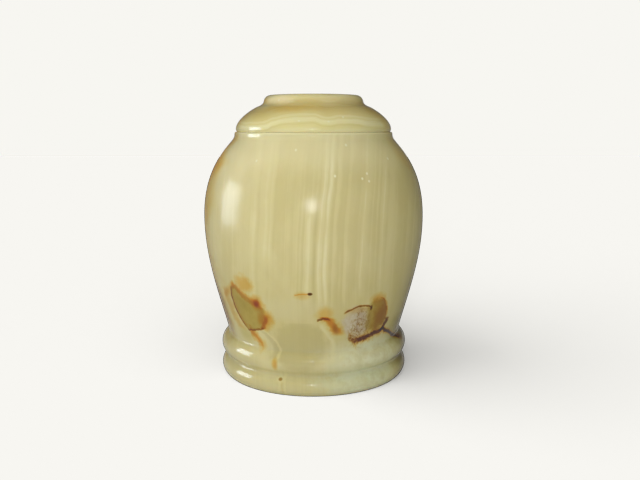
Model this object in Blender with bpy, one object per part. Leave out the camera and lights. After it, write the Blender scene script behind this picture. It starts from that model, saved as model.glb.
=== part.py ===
# Lidded onyx urn: a turned stone vessel on a foot of two rolled rings, and its loose turned lid.
# Units are metres, +Z is up, and the origin is the middle of the underside.
#
# Both pieces are turned on a lathe, so each is one half section swept round the Z axis.
# In a section a point is (radius, height). Directions in a section are given in degrees:
# 0 runs straight down, 90 straight out from the axis and -90 straight in towards it.
import math

import bpy

# Foot: a lower and an upper rolled ring, with a rounded groove between them
WAIST_RADIUS = 0.0750
RING_PROUD = 0.0068
LOWER_RING_SECTION_RADIUS = 0.0090
LOWER_RING_CREST_HEIGHT = 0.0069
UPPER_RING_SECTION_RADIUS = 0.0103
RING_SPACING = 0.0191
GROOVE_RADIUS = 0.0025

# Vessel: heights are measured from the waist up to the belly, and from there up to the rim
BELLY_RADIUS = 0.0950
BELLY_RISE = 0.0998
SHOULDER_RISE = 0.0668
SHOULDER_FLARE = 0.0022
RIM_RADIUS = 0.0680
RIM_COVE_RISE = 0.0050
TAPER_ANGLE = 14.0
TAPER_FULLNESS = (0.361, 0.280)
SHOULDER_ANGLE = 42.0
SHOULDER_FULLNESS = (0.380, 0.376)

# Hollow of the vessel
WALL = 0.0120
FLOOR_THICKNESS = 0.0220
FLOOR_CORNER_RADIUS = 0.0100
RIM_FACE_WIDTH = 0.0120
NECK_DEPTH = 0.0110

# Lid: a dome with a low flat disc on top, and a ring below that drops into the mouth
DOME_RISE = 0.0205
DOME_ANGLE = 67.0
DOME_FULLNESS = (0.375, 0.240)
DISC_RISE = 0.0080
DISC_RADIUS = 0.0424
DISC_FLARE = 0.0022
DISC_EDGE_WIDTH = 0.0056
DISC_EDGE_RISE = 0.0042
DISC_SIDE_ANGLE = 14.0
LID_SETBACK = 0.0013
LID_STONE_AT_CENTRE = 0.0160
SPIGOT_DEPTH = 0.0060
SPIGOT_WALL = 0.0080

# Where the two pieces meet: each has a softly rounded edge, which leaves a fine V-shaped seam
SEAM_ROUND_HEIGHT = 0.0021
SEAM_ROUND_TUCK = 0.0008
SEAM_ROUND_ANGLE = 45.0

# Small roundings
ROUND_FULLNESS = (0.370, 0.370)

# Clearances
SEAT_GAP = 0.0003
SPIGOT_CLEARANCE = 0.0010

# Facets
SIDES = 60
MERGE_DISTANCE = 0.00001
SMOOTH_ANGLE = math.radians(35.0)


def heading(degrees):
    """Unit step in the section: 0 is straight down and 90 straight out."""
    angle = math.radians(degrees)
    return math.sin(angle), -math.cos(angle)


def sweep(start, start_degrees, end, end_degrees, fullness, steps):
    """Points of a smooth curve that leaves start and reaches end in the given directions.

    The fullness is how far the curve keeps to each of the two directions, one value for each
    end, as a share of the distance between the ends.
    The start itself is left out, so that curves follow each other without a double point.
    """
    first_reach, second_reach = (share * math.dist(start, end) for share in fullness)
    out_r, out_z = heading(start_degrees)
    in_r, in_z = heading(end_degrees)
    first = (start[0] + out_r * first_reach, start[1] + out_z * first_reach)
    second = (end[0] - in_r * second_reach, end[1] - in_z * second_reach)
    points = []
    for i in range(1, steps + 1):
        t = i / steps
        weights = ((1 - t) ** 3, 3 * (1 - t) ** 2 * t, 3 * (1 - t) * t ** 2, t ** 3)
        corners = (start, first, second, end)
        radius = sum(w * corner[0] for w, corner in zip(weights, corners))
        height = sum(w * corner[1] for w, corner in zip(weights, corners))
        points.append((radius, height))
    return points


def arc(centre, radius, start_degrees, end_degrees, steps):
    """Points of a circular arc in the section; 0 degrees is straight out and 90 straight up."""
    points = []
    for i in range(steps + 1):
        angle = math.radians(start_degrees + (end_degrees - start_degrees) * i / steps)
        points.append((centre[0] + radius * math.cos(angle), centre[1] + radius * math.sin(angle)))
    return points


def inset(points, distance):
    """The same run of points moved square to itself, towards the inside of the vessel."""
    moved = []
    for i, (radius, height) in enumerate(points):
        before = points[max(i - 1, 0)]
        after = points[min(i + 1, len(points) - 1)]
        run = math.dist(before, after)
        step_r = (after[0] - before[0]) / run
        step_z = (after[1] - before[1]) / run
        moved.append((radius + step_z * distance, height - step_r * distance))
    return moved


def chord_angle(section_radius, depth):
    """Angle from the crest of a rolled ring to where its surface lies depth below the crest."""
    return math.degrees(math.acos(1 - depth / section_radius))


# Heights and radii that follow from the driving sizes
RING_RADIUS = WAIST_RADIUS + RING_PROUD
WAIST_ANGLE = chord_angle(UPPER_RING_SECTION_RADIUS, RING_PROUD)
BASE_ANGLE = math.degrees(math.asin(LOWER_RING_CREST_HEIGHT / LOWER_RING_SECTION_RADIUS))


WAIST_RISE = UPPER_RING_SECTION_RADIUS * math.sin(math.radians(WAIST_ANGLE))
UPPER_CREST_HEIGHT = LOWER_RING_CREST_HEIGHT + RING_SPACING
WAIST_HEIGHT = UPPER_CREST_HEIGHT + WAIST_RISE
BELLY_HEIGHT = WAIST_HEIGHT + BELLY_RISE
SHOULDER_HEIGHT = BELLY_HEIGHT + SHOULDER_RISE
RIM_HEIGHT = SHOULDER_HEIGHT + RIM_COVE_RISE + SEAM_ROUND_HEIGHT
SHOULDER_RADIUS = RIM_RADIUS + SHOULDER_FLARE
MOUTH_RADIUS = RIM_RADIUS - SEAM_ROUND_TUCK - RIM_FACE_WIDTH
LID_RADIUS = RIM_RADIUS - LID_SETBACK
LID_SEAT_HEIGHT = RIM_HEIGHT + SEAT_GAP
DOME_FOOT_HEIGHT = LID_SEAT_HEIGHT + SEAM_ROUND_HEIGHT
DISC_FOOT_HEIGHT = DOME_FOOT_HEIGHT + DOME_RISE
TOP_HEIGHT = DISC_FOOT_HEIGHT + DISC_RISE


def shoulder_curve(steps):
    """Outside of the vessel from under the rim down to the belly."""
    start = (SHOULDER_RADIUS, SHOULDER_HEIGHT)
    end = (BELLY_RADIUS, BELLY_HEIGHT)
    return [start] + sweep(start, SHOULDER_ANGLE, end, 0, SHOULDER_FULLNESS, steps)


def taper_curve(steps):
    """Outside of the vessel from the belly down to the waist."""
    start = (BELLY_RADIUS, BELLY_HEIGHT)
    end = (WAIST_RADIUS, WAIST_HEIGHT)
    return [start] + sweep(start, 0, end, -TAPER_ANGLE, TAPER_FULLNESS, steps)


def rim_section():
    """Rounded edge of the rim and the cove under it, down to the shoulder."""
    edge = (RIM_RADIUS - SEAM_ROUND_TUCK, RIM_HEIGHT)
    bead = (RIM_RADIUS, RIM_HEIGHT - SEAM_ROUND_HEIGHT)
    shoulder = (SHOULDER_RADIUS, SHOULDER_HEIGHT)
    rounding = sweep(edge, SEAM_ROUND_ANGLE, bead, 0, ROUND_FULLNESS, 3)
    cove = sweep(bead, 0, shoulder, SHOULDER_ANGLE, ROUND_FULLNESS, 3)
    return [edge] + rounding + cove


def groove_centre(upper, lower):
    """Centre of the groove's arc, which touches both rolled rings; it lies further out than they do."""
    upper_reach = UPPER_RING_SECTION_RADIUS + GROOVE_RADIUS
    lower_reach = LOWER_RING_SECTION_RADIUS + GROOVE_RADIUS
    apart = math.dist(upper, lower)
    along = (upper_reach ** 2 - lower_reach ** 2 + apart ** 2) / (2 * apart)
    aside = math.sqrt(upper_reach ** 2 - along ** 2)
    step_r = (lower[0] - upper[0]) / apart
    step_z = (lower[1] - upper[1]) / apart
    return upper[0] + step_r * along - step_z * aside, upper[1] + step_z * along + step_r * aside


def direction(centre, point):
    """Angle of the way from centre to point: 0 is straight out and 90 straight up."""
    return math.degrees(math.atan2(point[1] - centre[1], point[0] - centre[0]))


def foot_section():
    """The two rolled rings and the groove between them, from under the waist down to the underside."""
    upper_centre = (RING_RADIUS - UPPER_RING_SECTION_RADIUS, UPPER_CREST_HEIGHT)
    lower_centre = (RING_RADIUS - LOWER_RING_SECTION_RADIUS, LOWER_RING_CREST_HEIGHT)
    groove = groove_centre(upper_centre, lower_centre)
    leaves = direction(upper_centre, groove)
    arrives = direction(lower_centre, groove)
    upper = arc(upper_centre, UPPER_RING_SECTION_RADIUS, WAIST_ANGLE, leaves, 6)
    cove = arc(groove, GROOVE_RADIUS, leaves + 180, arrives + 180, 4)
    lower = arc(lower_centre, LOWER_RING_SECTION_RADIUS, arrives, -BASE_ANGLE, 6)
    return upper[1:] + cove[1:-1] + lower


def hollow_section():
    """Inside of the vessel, from the middle of its floor up to the mouth."""
    wall = inset(shoulder_curve(5) + taper_curve(5)[1:], WALL)
    wall.reverse()
    low_radius = wall[0][0]
    corner = (low_radius - FLOOR_CORNER_RADIUS, FLOOR_THICKNESS + FLOOR_CORNER_RADIUS)
    floor = [(0.0, FLOOR_THICKNESS)] + arc(corner, FLOOR_CORNER_RADIUS, -90, 0, 3)
    neck = [(MOUTH_RADIUS, RIM_HEIGHT - NECK_DEPTH), (MOUTH_RADIUS, RIM_HEIGHT)]
    return floor + wall + neck


def vessel_section():
    """Whole half section of the vessel: up its inside, over the rim and down its outside."""
    outside = rim_section() + shoulder_curve(7)[1:] + taper_curve(8)[1:] + foot_section()
    return hollow_section() + outside + [(0.0, 0.0)]


def lid_section():
    """Whole half section of the lid: down its outside, along its seat and up its inside."""
    disc_edge = (DISC_RADIUS - DISC_EDGE_WIDTH, TOP_HEIGHT)
    disc_side = (DISC_RADIUS, TOP_HEIGHT - DISC_EDGE_RISE)
    dome_top = (DISC_RADIUS + DISC_FLARE, DISC_FOOT_HEIGHT)
    dome_foot = (LID_RADIUS, DOME_FOOT_HEIGHT)
    seam = (LID_RADIUS - SEAM_ROUND_TUCK, LID_SEAT_HEIGHT)
    outside = [(0.0, TOP_HEIGHT), disc_edge]
    outside += sweep(disc_edge, 90, disc_side, DISC_SIDE_ANGLE, ROUND_FULLNESS, 4)
    outside += sweep(disc_side, DISC_SIDE_ANGLE, dome_top, DOME_ANGLE, ROUND_FULLNESS, 2)
    outside += sweep(dome_top, DOME_ANGLE, dome_foot, 0, DOME_FULLNESS, 7)
    outside += sweep(dome_foot, 0, seam, -SEAM_ROUND_ANGLE, ROUND_FULLNESS, 3)

    spigot_radius = MOUTH_RADIUS - SPIGOT_CLEARANCE
    spigot_end = LID_SEAT_HEIGHT - SPIGOT_DEPTH
    bore = spigot_radius - SPIGOT_WALL
    ceiling = TOP_HEIGHT - LID_STONE_AT_CENTRE
    spigot = [(spigot_radius, LID_SEAT_HEIGHT), (spigot_radius, spigot_end), (bore, spigot_end)]
    hollow = [(bore, LID_SEAT_HEIGHT)]
    hollow += sweep(hollow[0], 180, (0.0, ceiling), -90, ROUND_FULLNESS, 5)
    return outside + spigot + hollow


def stone(name, colour, roughness):
    """A polished stone: plain colour, no metal, with the roughness of its polish."""
    material = bpy.data.materials.new(name)
    material.use_nodes = True
    shader = material.node_tree.nodes["Principled BSDF"]
    shader.inputs["Base Color"].default_value = (*colour, 1.0)
    shader.inputs["Roughness"].default_value = roughness
    shader.inputs["Metallic"].default_value = 0.0
    material.diffuse_color = (*colour, 1.0)
    return material


def turned(name, section, material):
    """One turned piece: the half section as a chain of edges, swept round by a Screw modifier."""
    mesh = bpy.data.meshes.new(name)
    vertices = [(radius, 0.0, height) for radius, height in section]
    edges = [(i, i + 1) for i in range(len(section) - 1)]
    mesh.from_pydata(vertices, edges, [])
    mesh.materials.append(material)
    piece = bpy.data.objects.new(name, mesh)
    bpy.context.scene.collection.objects.link(piece)

    lathe = piece.modifiers.new("lathe", "SCREW")
    lathe.axis = "Z"
    lathe.angle = 2 * math.pi
    lathe.screw_offset = 0.0
    lathe.steps = SIDES
    lathe.render_steps = SIDES
    lathe.use_merge_vertices = True
    lathe.merge_threshold = MERGE_DISTANCE
    lathe.use_smooth_shade = True
    return piece


def settle(piece):
    """Turns the lathe's result into the piece's own mesh, smooth except at its real edges."""
    graph = bpy.context.evaluated_depsgraph_get()
    mesh = bpy.data.meshes.new_from_object(piece.evaluated_get(graph))
    mesh.name = piece.name
    piece.modifiers.clear()
    piece.data = mesh
    mesh.shade_smooth()
    mesh.set_sharp_from_angle(angle=SMOOTH_ANGLE)


for old in list(bpy.data.objects):
    bpy.data.objects.remove(old)

urn = bpy.data.objects.new("urn", None)
bpy.context.scene.collection.objects.link(urn)

vessel = turned("vessel", vessel_section(), stone("onyx_vessel", (0.60, 0.53, 0.30), 0.12))
lid = turned("lid", lid_section(), stone("onyx_lid", (0.58, 0.49, 0.24), 0.12))
for piece in (vessel, lid):
    piece.parent = urn
    settle(piece)
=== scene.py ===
# %% [markdown]
# # An onyx urn, turned and polished
#
# The urn is two pieces of banded onyx, a soft translucent calcite: a hollow vessel and a loose lid.
# Both were turned on a lathe and polished. The stone's layers stand upright in the vessel and lie
# level in the lid, because the two were cut from different sides of the block.
#
# The plan of this lesson is to read each piece's half section from the model that is already there,
# to spin it again much more finely, and then to spend the effort on the stone: layers, clouds,
# veins and stains, all worked out from formulas in the shader, with no pictures.

import math

import bpy
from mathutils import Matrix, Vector, noise


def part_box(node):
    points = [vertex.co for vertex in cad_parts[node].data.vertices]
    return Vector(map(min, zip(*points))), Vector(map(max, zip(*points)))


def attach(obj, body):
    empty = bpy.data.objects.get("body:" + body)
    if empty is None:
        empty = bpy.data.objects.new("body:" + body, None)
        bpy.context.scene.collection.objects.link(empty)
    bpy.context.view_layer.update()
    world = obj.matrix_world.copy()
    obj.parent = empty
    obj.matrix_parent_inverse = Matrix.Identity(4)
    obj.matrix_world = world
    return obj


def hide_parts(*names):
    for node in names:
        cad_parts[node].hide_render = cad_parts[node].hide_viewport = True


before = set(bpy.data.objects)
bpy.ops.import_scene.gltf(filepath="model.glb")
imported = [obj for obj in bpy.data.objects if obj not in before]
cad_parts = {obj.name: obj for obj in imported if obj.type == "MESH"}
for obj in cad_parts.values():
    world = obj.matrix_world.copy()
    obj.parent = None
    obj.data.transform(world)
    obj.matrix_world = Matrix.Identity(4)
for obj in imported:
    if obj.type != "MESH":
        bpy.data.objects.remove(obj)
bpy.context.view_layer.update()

MM = 0.001
URN_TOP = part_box("lid")[1].z
VESSEL_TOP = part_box("vessel")[1].z
BELLY_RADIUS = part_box("vessel")[1].x
print("urn height", round(URN_TOP / MM, 1), "mm, belly radius", round(BELLY_RADIUS / MM, 1), "mm")

# %% [markdown]
# ## Reading the half section
#
# A turned piece is one half section swept round its axis, so the section says all there is to know
# about its shape. The model's mesh was swept from the plane through +X, so the edges that lie in
# that plane are the section. Walking along them from one end to the other puts its points in order.
# Reading the shape, instead of typing it again, means that this script can't drift from the model.

# %% Half section of a node
DECIMALS = 5  # of a metre, so points are compared to a hundredth of a millimetre


def half_section(node):
    """The (radius, height) points of a turned node's section, from its upper end to its lower."""
    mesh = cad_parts[node].data
    corners = [tuple(round(value, DECIMALS) for value in vertex.co) for vertex in mesh.vertices]
    links = {}
    for edge in mesh.edges:
        a, b = (corners[index] for index in edge.vertices)
        if a != b and all(corner[1] == 0 and corner[0] >= 0 for corner in (a, b)):
            links.setdefault(a, set()).add(b)
            links.setdefault(b, set()).add(a)
    ends = [corner for corner in links if len(links[corner]) == 1]
    chain = [max(ends, key=lambda corner: corner[2])]
    while len(chain) < len(links):
        chain.append(next(corner for corner in links[chain[-1]] if corner not in chain[-2:]))
    return [(corner[0], corner[2]) for corner in chain]


for node in ("vessel", "lid"):
    print(node, "half section has", len(half_section(node)), "points")

# %% [markdown]
# ## Softening the edges
#
# No edge of a polished stone is sharp: the felt wheel rounds it by a fraction of a millimetre, and
# that small round is what catches the light. Wherever the section turns by more than a few steps of
# a smooth curve would, the corner is replaced by a short curve that leaves one side and joins the
# other. The lid is let down onto the rim here, leaving a gap as fine as a ground seam has.

# %% Corners
CORNER_ANGLE = 35.0
EDGE_ROUND = 0.35 * MM
HOLLOW_ROUND = 2.2 * MM
EDGE_STEPS = 3
SEAM_SHOWN = 0.06 * MM
SEAT_WIDTH = 5.0 * MM
MERGE_DISTANCE = 0.01 * MM
RIM_RADIUS = max(r for r, z in half_section("vessel") if z > VESSEL_TOP - MERGE_DISTANCE)


def between(a, b, share):
    """The point that lies a share of the way from a to b."""
    return tuple(p + (q - p) * share for p, q in zip(a, b))


def bend(before, at, after):
    """How many degrees a section turns at a point."""
    first = math.atan2(at[1] - before[1], at[0] - before[0])
    second = math.atan2(after[1] - at[1], after[0] - at[0])
    return abs(math.degrees(math.remainder(second - first, 2 * math.pi)))


def seated(node):
    """The half section, with the lid let down onto the rim."""
    section = half_section(node)
    if node == "vessel":
        return section
    seat = min(height for radius, height in section if radius > RIM_RADIUS - SEAT_WIDTH)
    lowered = VESSEL_TOP + SEAM_SHOWN
    return [(r, lowered if abs(z - seat) < MERGE_DISTANCE else z) for r, z in section]


def softened(section):
    """The section cut into smooth runs at its corners, with a short rounded run for each corner."""
    runs = [[section[0]]]
    for before, at, after in zip(section, section[1:], section[2:]):
        if bend(before, at, after) < CORNER_ANGLE:
            runs[-1].append(at)
            continue
        hollow = at[0] < (before[0] + after[0]) / 2
        reach = HOLLOW_ROUND if hollow else EDGE_ROUND
        entry = between(at, before, min(reach / math.dist(at, before), 0.5))
        exit_ = between(at, after, min(reach / math.dist(at, after), 0.5))
        runs[-1].append(entry)
        steps = [i / (EDGE_STEPS + 1) for i in range(EDGE_STEPS + 2)]
        runs.append([between(between(entry, at, t), between(at, exit_, t), t) for t in steps])
        runs.append([exit_])
    runs[-1].append(section[-1])
    return runs


print("the vessel's section has", len(softened(half_section("vessel"))) // 2, "corners")

# %% [markdown]
# ## A finer curve through the same points
#
# The model has flat facets, which is right for a simulation but shows at the outline. A smooth curve
# through its points gives the real profile back. Each point gets a direction, taken from its two
# neighbours with the nearer one counting more, and between two points a cubic curve leaves and
# arrives in those directions. The rows are close together where the stone shows, and wide inside.

# %% Smooth runs
SHOWN_PITCH = 1.25 * MM
HIDDEN_PITCH = 5.0 * MM
HIDDEN_DEPTH = 3.0 * MM


def directions(points):
    """A unit direction for each point of a smooth run."""
    steps = []
    for a, b in zip(points, points[1:]):
        length = math.dist(a, b)
        steps.append(((b[0] - a[0]) / length, (b[1] - a[1]) / length, length))
    if len(steps) == 1:
        return [steps[0][:2]] * 2
    inner = []
    for first, second in zip(steps, steps[1:]):
        mixed = tuple(first[k] * second[2] + second[k] * first[2] for k in (0, 1))
        size = math.hypot(*mixed)
        inner.append((mixed[0] / size, mixed[1] / size))
    return [mirrored(steps[0], inner[0])] + inner + [mirrored(steps[-1], inner[-1])]


def mirrored(step, direction):
    """The direction at a run's end: the last inner one, mirrored in the last step."""
    along = step[0] * direction[0] + step[1] * direction[1]
    return 2 * along * step[0] - direction[0], 2 * along * step[1] - direction[1]


def refined(points, pitch):
    """The run with more points on a smooth curve through it, about one pitch apart."""
    ways = directions(points)
    fine = [points[0]]
    for a, b, leave, arrive in zip(points, points[1:], ways, ways[1:]):
        length = math.dist(a, b)
        count = max(1, round(length / pitch))
        for i in range(1, count + 1):
            t = i / count
            near_b = 3 * t**2 - 2 * t**3
            start, end = t**3 - 2 * t**2 + t, t**3 - t**2
            fine.append(tuple(
                a[k] + (b[k] - a[k]) * near_b + (start * leave[k] + end * arrive[k]) * length
                for k in (0, 1)
            ))
    return fine


def outermost(section, height):
    """The radius of the outline at a height."""
    found = [0.0]
    for a, b in zip(section, section[1:]):
        if min(a[1], b[1]) <= height <= max(a[1], b[1]):
            rise = b[1] - a[1]
            crossed = (a, b) if rise == 0 else (between(a, b, (height - a[1]) / rise),)
            found += [point[0] for point in crossed]
    return max(found)


def is_hidden(section, point):
    """True for a point of the inside, of the seat or of the underside."""
    on_top = point[1] > URN_TOP - EDGE_ROUND
    return not on_top and point[0] < outermost(section, point[1]) - HIDDEN_DEPTH


def middles(run):
    """The middle of each step of a run."""
    return [between(a, b, 0.5) for a, b in zip(run, run[1:])]


def fine_section(node):
    """The whole half section of a piece from axis to axis, finely divided."""
    section = seated(node)
    if section[0][0] > 0:
        section.insert(0, (0.0, section[0][1]))
    if section[-1][0] > 0:
        section.append((0.0, section[-1][1]))
    flats = [section[:2]] if section[0][1] == section[1][1] else []
    tail = [section[-2:]] if section[-1][1] == section[-2][1] else []
    middle = section[len(flats):len(section) - len(tail)]
    points = []
    for run in flats + softened(middle) + tail:
        hidden = all(is_hidden(section, point) for point in middles(run))
        fine = refined(run, HIDDEN_PITCH if hidden else SHOWN_PITCH)
        points += fine if not points else fine[1:]
    return points


for node in ("vessel", "lid"):
    print(node, "fine half section has", len(fine_section(node)), "points")

# %% [markdown]
# ## Spinning the pieces
#
# The Screw modifier is Blender's lathe: it takes a chain of edges and sweeps it round an axis. With
# 320 sides the outline is smooth at any distance. The vertices also get a number called polish,
# which is 1 on the stone that was polished and 0 on what stays as the lathe tool left it: the
# inside, the seat and the underside. The shader will read it.

# %% The lathe
SIDES = 320


def spun(name, section):
    """A mesh object swept from a half section."""
    mesh = bpy.data.meshes.new(name)
    edges = [(i, i + 1) for i in range(len(section) - 1)]
    mesh.from_pydata([(radius, 0.0, height) for radius, height in section], edges, [])
    piece = bpy.data.objects.new(name, mesh)
    bpy.context.scene.collection.objects.link(piece)
    lathe = piece.modifiers.new("lathe", "SCREW")
    lathe.axis = "Z"
    lathe.angle = 2 * math.pi
    lathe.steps = SIDES
    lathe.render_steps = SIDES
    lathe.use_merge_vertices = True
    lathe.merge_threshold = MERGE_DISTANCE
    graph = bpy.context.evaluated_depsgraph_get()
    piece.data = bpy.data.meshes.new_from_object(piece.evaluated_get(graph))
    piece.data.name = name
    piece.modifiers.clear()
    piece.data.shade_smooth()
    piece.data.set_sharp_from_angle(angle=math.radians(CORNER_ANGLE))
    return piece


def mark_polish(piece, section):
    """Writes the number polish on each vertex: 1 on polished stone, 0 on tool-finished stone."""
    polish = piece.data.attributes.new("polish", "FLOAT", "POINT")
    rings = {}
    for vertex, mark in zip(piece.data.vertices, polish.data):
        radius = round(math.hypot(vertex.co.x, vertex.co.y), DECIMALS)
        ring = (radius, round(vertex.co.z, DECIMALS))
        if ring not in rings:
            rings[ring] = 0.0 if ring[1] == 0 or is_hidden(section, ring) else 1.0
        mark.value = rings[ring]


pieces = {}
for node in ("vessel", "lid"):
    pieces[node] = spun("onyx_" + node, fine_section(node))
    mark_polish(pieces[node], seated(node))
    print(node, "has", len(pieces[node].data.polygons), "faces")

# %% [markdown]
# ## The maker's hand
#
# A lathe-turned stone is round, but not perfectly: the wheel follows hard and soft layers, and the
# surface waves by a few hundredths of a millimetre. It is far too little to change the outline, and
# enough to make reflections flow instead of standing still. The seam also lost one small flake at
# its left end, which is pressed into the mesh as a shallow dent.

# %% Waves and the lost flake
WAVE = 0.07 * MM
WAVE_LENGTH = 30.0 * MM
FLAKE_TURN = math.radians(-80.0)
FLAKE_SIZE = 2.6 * MM
FLAKE_DEPTH = 1.3 * MM
FLAKE_ROUGH = 0.5


def point_on_girth(turn, radius, height):
    """A point of the surface: turn 0 faces the viewer, and grows to the viewer's right."""
    return Vector((radius * math.sin(turn), -radius * math.cos(turn), height))


def finish_by_hand(piece, flake_at):
    """Adds the slow waves of the polish and dents the stone where the flake came off."""
    polish = piece.data.attributes["polish"].data
    for vertex, mark in zip(piece.data.vertices, polish):
        outward = Vector((vertex.co.x, vertex.co.y, 0.0))
        if mark.value == 0.0 or outward.length < MERGE_DISTANCE:
            continue
        outward.normalize()
        depth = WAVE * noise.noise(vertex.co / WAVE_LENGTH)
        reach = (vertex.co - flake_at).length / FLAKE_SIZE
        if reach < 1.0:
            rough = 1.0 + FLAKE_ROUGH * noise.noise(vertex.co / MM)
            depth += FLAKE_DEPTH * (1.0 - reach * reach) * rough
        vertex.co -= outward * depth


flake = point_on_girth(FLAKE_TURN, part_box("lid")[1].x, VESSEL_TOP)
for piece in pieces.values():
    finish_by_hand(piece, flake)
print("lost flake at", [round(value / MM, 1) for value in flake], "mm")

# %% [markdown]
# ## Writing a shader as formulas
#
# Blender's shader nodes can do sums, but a sum of twenty nodes is hard to read. The small class
# below wraps one output of a node, so that plus, minus and times build the Math nodes by themselves.
# A field is a number or a colour that varies over the stone.

# %% Fields
class Field:
    """One output socket of the stone's nodes, which can be added, multiplied and so on."""

    def __init__(self, stone, socket):
        self.stone = stone
        self.socket = socket

    def __add__(self, other):
        return self.stone.sum_of("ADD", self, other)

    def __sub__(self, other):
        return self.stone.sum_of("SUBTRACT", self, other)

    def __rsub__(self, other):
        return self.stone.sum_of("SUBTRACT", other, self)

    def __mul__(self, other):
        return self.stone.sum_of("MULTIPLY", self, other)

    def __truediv__(self, other):
        return self.stone.sum_of("DIVIDE", self, other)

    __radd__ = __add__
    __rmul__ = __mul__

    def size(self):
        """The value without its sign."""
        return self.stone.sum_of("ABSOLUTE", self)

    def power(self, exponent):
        return self.stone.sum_of("POWER", self, exponent)

    def rise(self, low, high):
        """0 below low, 1 above high, and a smooth step between them."""
        node = self.stone.node("ShaderNodeMapRange", interpolation_type="SMOOTHSTEP")
        self.stone.connect(self, node.inputs["Value"])
        node.inputs["From Min"].default_value = low
        node.inputs["From Max"].default_value = high
        return Field(self.stone, node.outputs["Result"])

    def fall(self, low, high):
        """1 below low, 0 above high."""
        return 1.0 - self.rise(low, high)


class Stone:
    """A material that is being built, with the helpers that make its nodes."""

    def __init__(self, name):
        self.material = bpy.data.materials.new(name)
        self.material.use_nodes = True
        self.tree = self.material.node_tree
        self.shader = self.tree.nodes["Principled BSDF"]

    def node(self, kind, **settings):
        made = self.tree.nodes.new(kind)
        for name, value in settings.items():
            setattr(made, name, value)
        return made

    def connect(self, value, socket):
        if isinstance(value, Field):
            self.tree.links.new(value.socket, socket)
        else:
            socket.default_value = value

    def sum_of(self, operation, *values):
        made = self.node("ShaderNodeMath", operation=operation)
        for value, socket in zip(values, made.inputs):
            self.connect(value, socket)
        return Field(self, made.outputs[0])


print("fields are ready")

# %% [markdown]
# ## Where a point of the stone is
#
# Layers and clouds fill the whole block, so they are worked out from a point's place in it, in
# millimetres. Veins and stains are drawn on the surface, as a map of the urn: how far round, in
# degrees from the middle of the front, and how high, in millimetres.

# %% Places
def place(stone):
    """Gives the stone its coordinates: x, y, height and radius in mm, and turn in degrees."""
    position = stone.node("ShaderNodeTexCoord").outputs["Object"]
    scaled = stone.node("ShaderNodeVectorMath", operation="SCALE")
    stone.tree.links.new(position, scaled.inputs[0])
    scaled.inputs["Scale"].default_value = 1 / MM
    stone.point = Field(stone, scaled.outputs[0])
    apart = stone.node("ShaderNodeSeparateXYZ")
    stone.connect(stone.point, apart.inputs[0])
    stone.x, stone.y, stone.height = (Field(stone, socket) for socket in apart.outputs)
    stone.radius = (stone.x * stone.x + stone.y * stone.y).power(0.5)
    stone.turn = stone.sum_of("ARCTAN2", stone.x, stone.y * -1.0) * math.degrees(1)
    stone.degree = stone.radius * math.radians(1)


def cloud(stone, length, detail=2.0, roughness=0.5, stretch=(1, 1, 1), seed=0.0):
    """Smooth noise from -1 to 1, whose forms are about length millimetres across."""
    moved = stone.node("ShaderNodeMapping")
    stone.connect(stone.point, moved.inputs["Vector"])
    moved.inputs["Location"].default_value = (seed * 7.3, seed * 3.1, seed * 5.7)
    moved.inputs["Scale"].default_value = tuple(1 / (length * share) for share in stretch)
    made = stone.node("ShaderNodeTexNoise", noise_dimensions="3D")
    stone.tree.links.new(moved.outputs[0], made.inputs["Vector"])
    made.inputs["Scale"].default_value = 1.0
    made.inputs["Detail"].default_value = detail
    made.inputs["Roughness"].default_value = roughness
    return Field(stone, made.outputs[0]) * 2.0 - 1.0


def streaks(stone, grain, length, detail=2.0, roughness=0.5, seed=0.0):
    """Noise from -1 to 1 that changes along the grain alone: the thin layers of the stone."""
    made = stone.node("ShaderNodeTexNoise", noise_dimensions="1D")
    stone.connect(grain / length + seed, made.inputs["W"])
    made.inputs["Scale"].default_value = 1.0
    made.inputs["Detail"].default_value = detail
    made.inputs["Roughness"].default_value = roughness
    return Field(stone, made.outputs[0]) * 2.0 - 1.0


print("the belly is", round(BELLY_RADIUS / MM * math.radians(1), 2), "mm to the degree round")

# %% [markdown]
# ## Colours
#
# Colours are written as the eye reads them on a screen, from 0 to 255, and turned into the linear
# values that light is reckoned in. Pale marks are laid over the ground by a share from 0 to 1, and
# a ramp gives each layer of the stone its colour.

# %% Colours and laying them over each other
def tint(red, green, blue):
    """A screen colour as a linear one."""
    return tuple(
        (value / 255 / 12.92 if value <= 10 else ((value / 255 + 0.055) / 1.055) ** 2.4)
        for value in (red, green, blue)
    ) + (1.0,)


def laid_over(stone, ground, colour, share):
    """The ground with a colour over it, by a share from 0 to 1."""
    made = stone.node("ShaderNodeMix", data_type="RGBA")
    stone.connect(share, made.inputs[0])
    stone.connect(ground, made.inputs[6])
    stone.connect(colour, made.inputs[7])
    return Field(stone, made.outputs[2])


def ramp(stone, field, low, high, stops):
    """Colours along a field from low to high, given as (value, colour) stops."""
    made = stone.node("ShaderNodeValToRGB")
    made.color_ramp.interpolation = "EASE"
    stone.connect((field - low) / (high - low), made.inputs[0])
    elements = made.color_ramp.elements
    while len(elements) < len(stops):
        elements.new(0.5)
    for element, (value, colour) in zip(elements, stops):
        element.position = (value - low) / (high - low)
        element.color = colour
    return Field(stone, made.outputs[0])


print("half way on the screen is", round(tint(128, 128, 128)[0], 3), "in linear light")
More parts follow.
